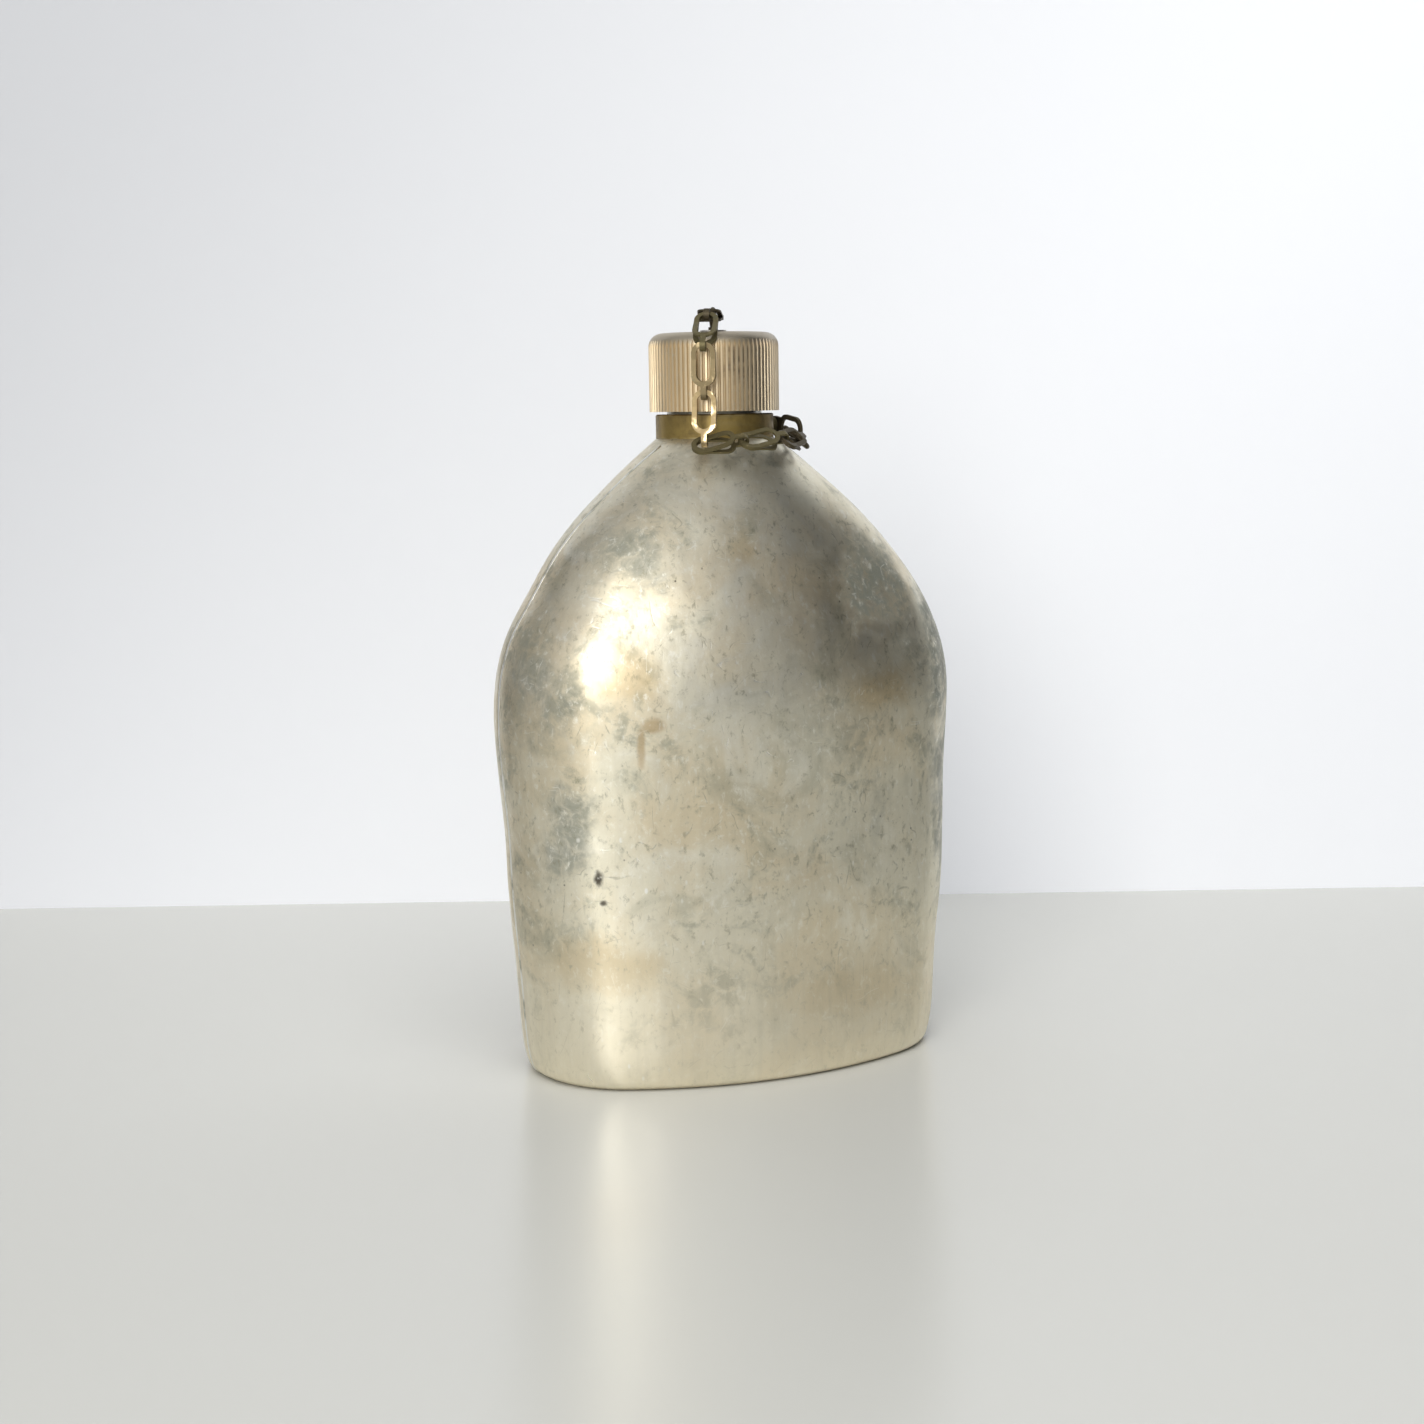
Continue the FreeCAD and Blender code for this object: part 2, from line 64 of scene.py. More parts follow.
# ---- mesh of the shells
WALL = 1.2 * MM
HALF_COLUMNS = 88
SIDE_ROWS = 96
CORNER_ROWS = 8
CORNER_HEIGHT = 4 * MM
BASE_SHARES = (0.0, 0.35, 0.7, 0.9, 0.98)
BASE_PROBE = 0.02 * MM
TOP_GAP = 0.05 * MM
NECK_STEP = 0.6 * MM
NECK_HOLE_R = 13.0 * MM
SEAM_SLACK = 0.02 * MM

# ---- dents: place across and up, width, height and depth in millimetres, then the side they are on
DENTS = (
    (-64, 66, 30, 30, 0.9, (-1, 0.1, 0)),
    (-50, 130, 16, 10, 1.0, (-1, -0.2, 0.6)),
    (44, 78, 16, 20, 0.6, (0.4, -1, 0)),
    (-22, 55, 24, 14, 0.5, (-0.2, -1, 0)),
    (30, 132, 12, 10, 0.7, (0.3, -1, 0.5)),
    (-30, 118, 13, 9, 0.5, (-0.3, -1, 0.4)),
    (12, 90, 20, 30, 0.5, (0, 1, 0)),
    (66, 84, 16, 22, 0.9, (1, 0, 0)),
)
FACING = 0.1
BROAD_WAVES = 38.0
SHORT_WAVES = 85.0
WAVE_DEPTH = 0.22 * MM
WAVE_LIFT = 0.25
BASE_FADE = (2 * MM, 12 * MM)
NECK_FADE = (1.5 * MM, 14 * MM)

# ---- weld bead along the narrow ends
BEAD_HALF_WIDTH = 0.7 * MM
BEAD_HEIGHT = 0.28 * MM
BEAD_SINK = 0.12 * MM
BEAD_SIDES = 6
BEAD_WAVES = 400.0
BEAD_UNEVEN = 0.25
BEAD_START_Z = 0.6 * MM
BEAD_END_X = BAND_R + 1 * MM

# ---- dressing of the CAD nodes
SHARP_ANGLE = math.radians(35)
EDGE_ROUND = 0.10 * MM
EDGE_SEGMENTS = 2


def linked(name, data):
    """A new object in the scene that holds the given data."""
    piece = bpy.data.objects.new(name, data)
    bpy.context.scene.collection.objects.link(piece)
    return piece


def smooth_piece(name, bm):
    """A smoothly shaded object made from a mesh under construction, which this closes."""
    mesh = bpy.data.meshes.new(name)
    bm.to_mesh(mesh)
    bm.free()
    for polygon in mesh.polygons:
        polygon.use_smooth = True
    return linked(name, mesh)


def stand_in(piece, node):
    """Puts a piece of the bottle in the place of a CAD node."""
    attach(piece, "bottle")
    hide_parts(node)


# ---------------------------------------------------------------- bottle shells
def joined_tree(names):
    """One search tree over the surfaces of several CAD nodes."""
    vertices = []
    faces = []
    for name in names:
        mesh = nodes[name].data
        start = len(vertices)
        vertices += [v.co.copy() for v in mesh.vertices]
        faces += [[start + i for i in p.vertices] for p in mesh.polygons]
    return BVHTree.FromPolygons(vertices, faces)


def outer_point(tree, angle, height):
    """The outermost point of the bottle at an angle from +X round the seam plane's middle."""
    centre = Vector((0, SEAM_Y, height))
    out = Vector((math.cos(angle), math.sin(angle), 0))
    far = centre + out * 2 * HALF_WIDTH
    hit = tree.ray_cast(far, -out)[0]
    return hit if hit is not None else centre + out * BAND_R


def circle_point(radius, angle, height):
    """Where the ray at this angle from the seam plane's middle meets a circle round the neck's axis."""
    across = SEAM_Y * math.sin(angle)
    reach = -across + math.sqrt(across ** 2 - SEAM_Y ** 2 + radius ** 2)
    return Vector((reach * math.cos(angle), SEAM_Y + reach * math.sin(angle), height))


def shell_rows(tree, angles):
    """Rows of points from the middle of the base up the side to the neck's hole."""
    rows = []
    edge = [outer_point(tree, a, BASE_PROBE) for a in angles]
    middle = Vector((0, SEAM_Y, 0))
    for share in BASE_SHARES:
        rows.append([middle.lerp(Vector((p.x, p.y, 0)), share) for p in edge])
    for i in range(1, CORNER_ROWS + 1):
        height = CORNER_HEIGHT * (1 - math.cos(math.pi / 2 * i / CORNER_ROWS))
        rows.append([outer_point(tree, a, height) for a in angles])
    top = BODY_TOP - TOP_GAP
    for i in range(1, SIDE_ROWS + 1):
        height = CORNER_HEIGHT + (top - CORNER_HEIGHT) * i / SIDE_ROWS
        rows.append([outer_point(tree, a, height) for a in angles])
    rows.append([circle_point(BAND_R - NECK_STEP, a, BODY_TOP) for a in angles])
    rows.append([circle_point(NECK_HOLE_R, a, BODY_TOP) for a in angles])
    return rows


def grid_mesh(name, rows):
    """Faces over rows of points; all of the first row is one point, the middle of the base."""
    bm = bmesh.new()
    middle = bm.verts.new(rows[0][0])
    grid = [[middle] * len(rows[0])]
    for row in rows[1:]:
        grid.append([bm.verts.new(p) for p in row])
    for low, high in zip(grid, grid[1:]):
        for i in range(len(low) - 1):
            corners = (low[i], low[i + 1], high[i + 1], high[i])
            bm.faces.new(list(dict.fromkeys(corners)))
    bm.normal_update()
    return smooth_piece(name, bm)


def press(point, normal, dent):
    """How far one dent pushes the sheet in at a point."""
    x, z, width, height, depth, side = dent
    if normal.dot(Vector(side).normalized()) < FACING:
        return 0.0
    away = ((point.x - x * MM) / (width * MM)) ** 2 + ((point.z - z * MM) / (height * MM)) ** 2
    return depth * MM * math.exp(-away)


def dent_depth(point, normal):
    """How far years of use have pushed the sheet in at a point: the dents, and a slight waviness."""
    depth = 0.0
    for dent in DENTS:
        depth += press(point, normal, dent)
    soft = noise.noise(point * BROAD_WAVES)
    soft += 0.5 * noise.noise(point * SHORT_WAVES + Vector((3, 1, 7)))
    return depth + WAVE_DEPTH * max(0.0, soft + WAVE_LIFT)


def faded(distance, fade):
    """A share that grows from none at the first of two distances to full over the second."""
    start, length = fade
    return min(1.0, max(0.0, (distance - start) / length))


def push_in(piece):
    """Dents the sheet along its normals, not at the base and the neck; the seam stays in its plane."""
    mesh = piece.data
    normals = [v.normal.copy() for v in mesh.vertices]
    for vertex, normal in zip(mesh.vertices, normals):
        point = vertex.co
        share = faded(point.z, BASE_FADE) * faded(BODY_TOP - point.z, NECK_FADE)
        if abs(point.y - SEAM_Y) < SEAM_SLACK:
            normal = Vector((math.copysign(1, point.x), 0, normal.z)).normalized()
        vertex.co = point - normal * dent_depth(point, normal) * share


def bottle_half(tree, name, start, end, node):
    """One shell of the bottle: the half between two angles, with its sheet's thickness."""
    angles = [start + (end - start) * i / HALF_COLUMNS for i in range(HALF_COLUMNS + 1)]
    rows = shell_rows(tree, angles)
    for row in rows:
        for p in (row[0], row[-1]):
            p.y = SEAM_Y
    piece = grid_mesh(name, rows)
    push_in(piece)
    sheet = piece.modifiers.new("sheet", "SOLIDIFY")
    sheet.thickness = WALL
    sheet.offset = -1
    sheet.use_even_offset = False
    stand_in(piece, node)
    return piece


def seam_line(piece, side):
    """The shell's edge along the weld on one narrow end, from the base corner to the neck."""
    places = [v.co.copy() for v in piece.data.vertices]
    points = [p for p in places
              if abs(p.y - SEAM_Y) < SEAM_SLACK and p.x * side > BEAD_END_X and p.z > BEAD_START_Z]
    return sorted(points, key=lambda p: p.z)


def bead_section(point, along, side):
    """Half a round of points over the seam, sunk a little into the sheet."""
    out = Vector((along.z, 0, -along.x)).normalized()
    if out.x * side < 0:
        out = -out
    swell = 1 + BEAD_UNEVEN * noise.noise(point * BEAD_WAVES)
    section = []
    for k in range(BEAD_SIDES + 1):
        turn = math.pi * k / BEAD_SIDES
        sideways = Vector((0, 1, 0)) * BEAD_HALF_WIDTH * swell * math.cos(turn)
        section.append(point + sideways + out * (BEAD_HEIGHT * swell * math.sin(turn) - BEAD_SINK))
    return section


def weld_bead(piece):
    """Low bead of weld over the joint of the shells, slightly uneven along its length."""
    bm = bmesh.new()
    for side in (-1, 1):
        line = seam_line(piece, side)
        rows = []
        for i, point in enumerate(line):
            along = (line[min(i + 1, len(line) - 1)] - line[max(i - 1, 0)]).normalized()
            rows.append([bm.verts.new(p) for p in bead_section(point, along, side)])
        for low, high in zip(rows, rows[1:]):
            for k in range(BEAD_SIDES):
                bm.faces.new((low[k], low[k + 1], high[k + 1], high[k]))
            bm.faces.new((low[BEAD_SIDES], low[0], high[0], high[BEAD_SIDES]))
        bm.faces.new(rows[0])
        bm.faces.new(rows[-1][::-1])
    bmesh.ops.recalc_face_normals(bm, faces=bm.faces)
    bead = smooth_piece("seam_weld_bead", bm)
    stand_in(bead, "seam_weld")
    return bead


# ---------------------------------------------------------------- material helpers
class Nodes:
    """Short calls for wiring one procedural material over the object's own metres."""

    def __init__(self, name):
        self.material = bpy.data.materials.new(name)
        self.material.use_nodes = True
        self.tree = self.material.node_tree
        self.shader = self.tree.nodes["Principled BSDF"]
        self.position = self.add("ShaderNodeTexCoord").outputs["Object"]

    def add(self, kind, **values):
        """A new shader node with some of its settings."""
        node = self.tree.nodes.new(kind)
        for key, value in values.items():
            setattr(node, key, value)
        return node

    def link(self, source, target):
        """Feeds an input with a number, a colour or another node's output."""
        if isinstance(source, (int, float)):
            target.default_value = source
        elif isinstance(source, tuple):
            target.default_value = (*source, 1.0)[:len(target.default_value)]
        else:
            self.tree.links.new(source, target)

    def placed(self, texture, scale, stretch, shift=(0, 0, 0)):
        """Sets a texture's scale and stretches and shifts the space that it fills."""
        mapping = self.add("ShaderNodeMapping")
        mapping.inputs["Scale"].default_value = stretch
        mapping.inputs["Location"].default_value = shift
        self.link(self.position, mapping.inputs["Vector"])
        self.link(mapping.outputs[0], texture.inputs["Vector"])
        texture.inputs["Scale"].default_value = scale

    def noise(self, scale, detail=4.0, rough=0.55, distortion=0.0, stretch=(1, 1, 1), shift=(0, 0, 0)):
        """Cloudy texture from 0 to 1."""
        texture = self.add("ShaderNodeTexNoise")
        self.placed(texture, scale, stretch, shift)
        texture.inputs["Detail"].default_value = detail
        texture.inputs["Roughness"].default_value = rough
        texture.inputs["Distortion"].default_value = distortion
        return texture.outputs["Fac"]

    def cells(self, scale, stretch=(1, 1, 1)):
        """Distance from scattered points."""
        texture = self.add("ShaderNodeTexVoronoi")
        self.placed(texture, scale, stretch)
        return texture.outputs["Distance"]

    def math(self, operation, a, b=0.0, clamp=False):
        """One sum on two values."""
        node = self.add("ShaderNodeMath", operation=operation, use_clamp=clamp)
        self.link(a, node.inputs[0])
        self.link(b, node.inputs[1])
        return node.outputs[0]

    def times(self, a, b):
        """The product of two values."""
        return self.math("MULTIPLY", a, b)

    def plus(self, a, b):
        """The sum of two values."""
        return self.math("ADD", a, b)

    def minus(self, a, b, clamp=False):
        """The first value less the second, held from 0 to 1 where asked."""
        return self.math("SUBTRACT", a, b, clamp)

    def most(self, *values):
        """The greatest of several values."""
        greatest = values[0]
        for value in values[1:]:
            greatest = self.math("MAXIMUM", greatest, value)
        return greatest

    def span(self, value, low, high, to_low=0.0, to_high=1.0):
        """Value moved from one range to another, held inside it, with eased ends."""
        node = self.add("ShaderNodeMapRange", interpolation_type="SMOOTHSTEP")
        for key, number in (("From Min", low), ("From Max", high), ("To Min", to_low), ("To Max", to_high)):
            node.inputs[key].default_value = number
        self.link(value, node.inputs["Value"])
        return node.outputs["Result"]

    def mix(self, share, a, b):
        """Two colours mixed by the share of the second."""
        node = self.add("ShaderNodeMix", data_type="RGBA")
        self.link(share, node.inputs["Factor"])
        self.link(a, node.inputs[6])
        self.link(b, node.inputs[7])
        return node.outputs[2]

    def layers(self, colour, tints):
        """A colour under several tints, laid on in order, each with its share."""
        for share, tint in tints:
            colour = self.mix(share, colour, tint)
        return colour

    def part(self, axis):
        """One coordinate of the place: 0 across, 1 deep, 2 up."""
        node = self.add("ShaderNodeSeparateXYZ")
        self.link(self.position, node.inputs[0])
        return node.outputs[axis]

    def spot(self, place, size, ragged, scale=90.0):
        """Soft-edged patch round a place, with a ragged outline; place and size in millimetres."""
        offset = self.add("ShaderNodeVectorMath", operation="SUBTRACT")
        self.link(self.position, offset.inputs[0])
        offset.inputs[1].default_value = [v * MM for v in place]
        squeeze = self.add("ShaderNodeVectorMath", operation="DIVIDE")
        self.link(offset.outputs[0], squeeze.inputs[0])
        squeeze.inputs[1].default_value = [v * MM for v in size]
        length = self.add("ShaderNodeVectorMath", operation="LENGTH")
        self.link(squeeze.outputs[0], length.inputs[0])
        rough = self.times(self.minus(self.noise(scale, 5), 0.5), ragged * 2)
        return self.span(self.plus(length.outputs["Value"], rough), 0.35, 1.05, 1.0, 0.0)

    def spots(self, marks, scale=90.0):
        """The strongest of several patches, each given by place, size, raggedness and strength."""
        return self.most(*[self.times(self.spot(place, size, ragged, scale), strength)
                           for place, size, ragged, strength in marks])

    def hairlines(self, scale, width, stretch, shift, distortion):
        """Thin wandering lines where a stretched noise crosses its middle value."""
        wander = self.noise(scale, 1.5, 0.4, distortion, stretch, shift)
        away = self.math("ABSOLUTE", self.minus(wander, 0.5))
        return self.span(away, 0.0, width, 1.0, 0.0)

    def broken(self, lines, scale, shift, start):
        """Lines shown only where a second noise is above a level."""
        return self.times(lines, self.span(self.noise(scale, 4, shift=shift), start, start + 0.10))

    def bump(self, height, strength, distance, below=None):
        """Relief from a height, on top of another relief where one is given."""
        node = self.add("ShaderNodeBump")
        node.inputs["Strength"].default_value = strength
        node.inputs["Distance"].default_value = distance
        self.link(height, node.inputs["Height"])
        if below is not None:
            self.link(below, node.inputs["Normal"])
        return node.outputs["Normal"]

    def finish(self, colour, metallic, roughness, normal):
        """Feeds the shader and hands the material over."""
        for key, value in (("Base Color", colour), ("Metallic", metallic),
                           ("Roughness", roughness), ("Normal", normal)):
            self.link(value, self.shader.inputs[key])
        return self.material


# ---------------------------------------------------------------- aged sheet of the body
# Marks on the body: place and size in millimetres, raggedness of the outline, strength.
PATINA_PATCHES = (
    ((34, -28, 130), (17, 22, 16), 0.9, 1.0),
    ((57, -20, 114), (13, 30, 34), 0.95, 1.0),
    ((61, -14, 80), (12, 30, 46), 0.95, 0.9),
    ((-53, -24, 70), (8, 18, 18), 0.95, 0.8),
    ((-56, -14, 108), (11, 22, 20), 0.95, 0.8),
    ((-36, -26, 143), (15, 20, 13), 0.95, 0.75),
    ((20, -42, 97), (20, 12, 12), 0.95, 0.35),
    ((30, -40, 72), (4, 12, 14), 0.95, 0.45),
    ((10, 22, 96), (38, 16, 30), 0.95, 0.55),
)
WARM_STAINS = (
    ((32, -38, 104), (17, 16, 9), 0.7, 0.65),
    ((-6, -40, 142), (9, 14, 6), 0.7, 0.65),
    ((24, -40, 22), (26, 16, 8), 0.8, 0.65),
    ((-48, -30, 34), (22, 16, 9), 0.8, 0.65),
    ((-38, -36, 110), (10, 16, 9), 0.8, 0.65),
    ((-20, 22, 60), (24, 14, 22), 0.9, 0.65),
)
BROWN_STREAK = (
    ((-33.5, -38, 98), (3.6, 14, 2.6), 0.5, 0.62),
    ((-36.5, -37, 92.5), (1.5, 14, 6.5), 0.5, 0.62),
)
DEEP_PITS = (
    ((-47, -32, 58), (1.5, 6, 2.6), 0.5, 1.0),
    ((-46, -33, 51.5), (1.3, 6, 1.2), 0.5, 1.0),
)
SCRATCHED_SHOULDER = ((-34, -30, 142), (20, 24, 20), 0.5)
# Column on the left of the front where painted glints gather along the window's highlight.
HIGHLIGHT_GLINT_COLUMN = ((-42, -34, 78), (16, 20, 75), 0.5)
STREAK_GRAIN = 260
PIT_GRAIN = 500


def oxide_clouds(n, blotches, freckles):
    """Silver sheet with tan clouds, grey shadows, pale blotches and grey-green grime."""
    clouds = n.noise(26, 6, 0.6, 0.4)
    shadows = n.span(n.noise(44, 6, 0.6, 0.9, shift=(7, 3, 5)), 0.50, 0.70)
    grime = n.times(n.span(blotches, 0.50, 0.34), n.span(freckles, 0.36, 0.60))
    silver = (0.82, 0.775, 0.625)
    return n.layers(silver, (
        (n.span(clouds, 0.40, 0.66), (0.77, 0.675, 0.49)),
        (n.times(shadows, 0.38), (0.36, 0.36, 0.27)),
        (n.times(n.span(blotches, 0.52, 0.72), 0.55), (0.93, 0.90, 0.78)),
        (n.times(grime, 0.62), (0.31, 0.32, 0.25))))


def sheet_pits(n):
    """Two deep pits low on the left and fine dark specks in places."""
    specks = n.times(n.span(n.cells(240), 0.10, 0.03), n.span(n.noise(45, 3, shift=(7, 7, 1)), 0.55, 0.68))
    return n.most(n.spots(DEEP_PITS, PIT_GRAIN), specks)


def dark_scratches(n):
    """Dark hairlines upright, slanting, and long ones over the left shoulder."""
    upright = n.hairlines(95, 0.007, (1.0, 1.0, 0.4), (2, 5, 1), 0.5)
    slanting = n.hairlines(75, 0.008, (0.8, 0.8, 0.9), (6, 2, 3), 0.8)
    long_lines = n.hairlines(34, 0.006, (1.3, 1.0, 0.55), (3, 6, 5), 0.35)
    return n.most(
        n.broken(upright, 190, (9, 1, 4), 0.52),
        n.broken(slanting, 150, (4, 7, 1), 0.54),
        n.times(long_lines, n.spot(*SCRATCHED_SHOULDER)))


def bright_scratches(n):
    """Fresh bright hairlines, upright and level."""
    upright = n.hairlines(140, 0.009, (1.2, 1.2, 0.3), (8, 3, 6), 0.4)
    level = n.hairlines(120, 0.010, (0.4, 0.4, 1.4), (1, 9, 8), 0.4)
    return n.most(
        n.broken(upright, 210, (5, 6, 2), 0.55),
        n.broken(level, 170, (2, 2, 8), 0.57))


def flecks_and_painted_glints(n):
    """Scattered pale flecks, and denser painted glints up the left side, along the window's highlight."""
    flecks = n.times(n.span(n.cells(330, (1, 1, 0.5)), 0.16, 0.05),
                     n.span(n.noise(38, 3, shift=(3, 4, 4)), 0.54, 0.66))
    painted_glints = n.times(n.span(n.cells(210, (1, 1, 0.6)), 0.13, 0.05),
                     n.span(n.noise(75, 4, shift=(5, 9, 2)), 0.48, 0.58))
    # Painted glints, strongest in the column along the window's highlight.
    glint_column = n.times(n.spot(*HIGHLIGHT_GLINT_COLUMN), 0.9)
    return n.most(n.times(flecks, 0.55), n.times(painted_glints, glint_column))


def sheet_relief(n, brushed, lines, pits):
    """Slight waves, grain and brushing, with the scratches and pits cut in."""
    normal = n.bump(n.noise(48, 3, 0.5), 0.22, 0.0012)
    normal = n.bump(n.noise(170, 5, 0.6), 0.16, 0.0004, normal)
    normal = n.bump(brushed, 0.05, 0.0002, normal)
    cuts = n.times(n.plus(lines, n.times(pits, 4.0)), -1.0)
    return n.bump(cuts, 0.10, 0.0002, normal)


def aged_aluminium():
    """Satin sheet with tan and grey-green oxide clouds, stains, pits, flecks and hairline scratches, with
    painted glints up the left side and a painted reflection of the table near the base.
    """
    n = Nodes("aged_aluminium")
    blotches = n.noise(62, 7, 0.62, 0.8, shift=(4, 2, 9))
    freckles = n.noise(230, 5, 0.65, 0.5, shift=(1, 8, 3))
    mottle = n.noise(520, 6, 0.7, 0.3, (1, 1, 0.7), (3, 3, 8))
    brushed = n.noise(420, 3, 0.6, 0.1, (1, 1, 0.06))
    patina = n.times(n.spots(PATINA_PATCHES), n.span(freckles, 0.32, 0.60, 0.35, 0.95))
    pits = sheet_pits(n)
    dark_lines = dark_scratches(n)
    bright_lines = bright_scratches(n)
    # Painted reflection of the pale table: the sheet is painted lighter and warmer toward the base.
    table_reflection_near_base = n.span(n.part(2), 60 * MM, 5 * MM)
    colour = n.layers(oxide_clouds(n, blotches, freckles), (
        (patina, (0.25, 0.26, 0.215)),
        (n.spots(WARM_STAINS), (0.63, 0.50, 0.29)),
        (n.spots(BROWN_STREAK, STREAK_GRAIN), (0.47, 0.33, 0.16)),
        (pits, (0.07, 0.06, 0.045)),
        (n.times(dark_lines, 0.42), (0.22, 0.21, 0.15)),
        (n.times(bright_lines, 0.5), (0.97, 0.96, 0.88)),
        (n.span(mottle, 0.54, 0.72, 0.0, 0.6), (0.28, 0.265, 0.18)),
        (n.span(mottle, 0.46, 0.30, 0.0, 0.55), (0.97, 0.95, 0.85)),
        (n.times(table_reflection_near_base, 0.6), (0.95, 0.87, 0.68)),
        (flecks_and_painted_glints(n), (0.98, 0.97, 0.91)),
        (n.span(brushed, 0.35, 0.75, 0.0, 0.10), (0.38, 0.36, 0.29))))
    roughness = n.plus(n.span(blotches, 0.30, 0.70, 0.47, 0.34), n.times(patina, 0.12))
    roughness = n.minus(roughness, n.times(bright_lines, 0.10), True)
    metallic = n.minus(0.93, n.times(n.most(patina, pits), 0.35))
    normal = sheet_relief(n, brushed, n.plus(dark_lines, bright_lines), pits)
    return n.finish(colour, metallic, roughness, normal)


# ---------------------------------------------------------------- other materials
def weld_metal():
    """Bright dressed bead, its pale tint partly a painted highlight along the seam, a little rippled along
    its length.
    """
    n = Nodes("weld_metal")
    grime = n.span(n.noise(160, 5, 0.6), 0.45, 0.68)
    # The pale tint is partly a painted highlight, so that the seam shows as a bright line.
    colour = n.mix(grime, (0.86, 0.85, 0.79), (0.48, 0.46, 0.38))
    ripple = n.noise(520, 2, 0.5, 0.0, (1, 1, 1.6))
    return n.finish(colour, 0.9, n.span(grime, 0, 1, 0.28, 0.5), n.bump(ripple, 0.4, 0.0003))


def cap_metal():
    """Warm tarnished aluminium: dirt and painted shade in the grooves between the ridges, painted shade on
    the top, and the left side toward the window worn and painted a lighter gold.
    """
    n = Nodes("cap_metal")
    x = n.part(0)
    y = n.part(1)
    height = n.part(2)
    radius = n.math("SQRT", n.plus(n.times(x, x), n.times(y, y)))
    clouds = n.noise(95, 6, 0.62, 0.5)
    fine = n.noise(420, 5, 0.65)
    rightward = n.plus(n.times(x, 0.80), n.times(y, 0.30))
    # Worn and painted lighter: the cap's side toward the window gets a lighter gold, part wear and part
    # painted light.
    rubbed = n.span(n.plus(rightward, n.times(n.minus(clouds, 0.5), 0.022)), -0.010, 0.002, 1.0, 0.0)
    # Painted shade: the top of the cap is painted darker.
    top = n.span(height, cap_high.z - 4.2 * MM, cap_high.z - 1.5 * MM)
    side = n.span(height, cap_high.z - 3.0 * MM, cap_high.z - 4.5 * MM)
    valley = n.span(radius, CAP_R - 0.40 * MM, CAP_R - 0.04 * MM, 1.0, 0.0)
    # Dirt and painted shade in the grooves between the ridges, darkest on the right away from the window
    # and less on the worn left.
    grime = n.times(n.times(valley, side), n.span(rubbed, 0.0, 1.0, 1.0, 0.30))
    crest = n.times(n.minus(1.0, valley), side)
    colour = n.layers((0.56, 0.45, 0.31), (
        (n.span(clouds, 0.38, 0.66), (0.66, 0.51, 0.33)),
        # lighter gold on the worn side toward the window, partly painted light
        (n.times(rubbed, 0.8), (0.88, 0.69, 0.42)),
        (n.span(fine, 0.56, 0.72, 0.0, 0.5), (0.82, 0.78, 0.68)),
        # painted shade on the top
        (n.times(top, 0.75), (0.40, 0.375, 0.32)),
        # dirt and painted shade in the grooves
        (grime, (0.055, 0.042, 0.026)),
        (n.times(crest, 0.45), (0.84, 0.72, 0.52))))
    roughness = n.plus(n.span(clouds, 0.3, 0.7, 0.36, 0.50), n.times(grime, 0.2))
    metallic = n.minus(0.9, n.times(grime, 0.5))
    normal = n.bump(n.noise(150, 4), 0.2, 0.0004, n.bump(fine, 0.25, 0.0002))
    return n.finish(colour, metallic, roughness, normal)


def brass(name, bare, patina, cover):
    """Brass under a share of patina, bare where it is rubbed, with dark grime in places."""
    n = Nodes(name)
    clouds = n.noise(210, 6, 0.62, 0.4)
    fine = n.noise(900, 4, 0.6)
    grime = n.noise(340, 5, shift=(6, 1, 2))
    share = n.span(clouds, 0.62 - 0.42 * cover, 0.80 - 0.42 * cover)
    colour = n.layers(bare, (
        (share, patina),
        (n.span(fine, 0.58, 0.75, 0.0, 0.45), bare),
        (n.span(grime, 0.60, 0.74, 0.0, 0.5), (0.10, 0.11, 0.075))))
    roughness = n.span(share, 0, 1, 0.26, 0.52)
    metallic = n.span(share, 0, 1, 0.98, 0.72)
    return n.finish(colour, metallic, roughness, n.bump(n.noise(520, 5), 0.3, 0.00015))


def band_metal():
    """Olive-brown lacquered brass strap, scuffed along its edges."""
    n = Nodes("band_metal")
    height = n.part(2)
    clouds = n.noise(120, 6, 0.6, 0.4)
    streaks = n.noise(300, 4, 0.6, 0.2, (0.15, 0.15, 1.0))
    edge = n.most(n.span(height, band_high.z - 0.7 * MM, band_high.z - 0.2 * MM),
                  n.span(height, band_low.z + 0.5 * MM, band_low.z + 0.1 * MM))
    worn = n.times(edge, n.span(n.noise(260, 4), 0.45, 0.62))
    colour = n.layers((0.36, 0.255, 0.08), (
        (n.span(clouds, 0.36, 0.66), (0.17, 0.12, 0.045)),
        (n.span(streaks, 0.55, 0.72, 0.0, 0.35), (0.33, 0.27, 0.12)),
        (n.times(worn, 0.6), (0.45, 0.38, 0.22))))
    return n.finish(colour, 0.75, n.span(clouds, 0.3, 0.7, 0.34, 0.50), n.bump(streaks, 0.2, 0.0002))


def neck_metal():
    """Turned spout: cleaner than the body, with fine rings."""
    n = Nodes("neck_metal")
    rings = n.noise(300, 3, 0.5, 0.0, (0.05, 0.05, 4.0))
    clouds = n.noise(110, 5, 0.6)
    colour = n.layers((0.60, 0.58, 0.52), (
        (n.span(clouds, 0.4, 0.65), (0.44, 0.42, 0.34)),
        (n.span(rings, 0.5, 0.7, 0.0, 0.3), (0.76, 0.75, 0.70))))
    return n.finish(colour, 0.92, n.span(clouds, 0.3, 0.7, 0.30, 0.44), n.bump(rings, 0.15, 0.0001))


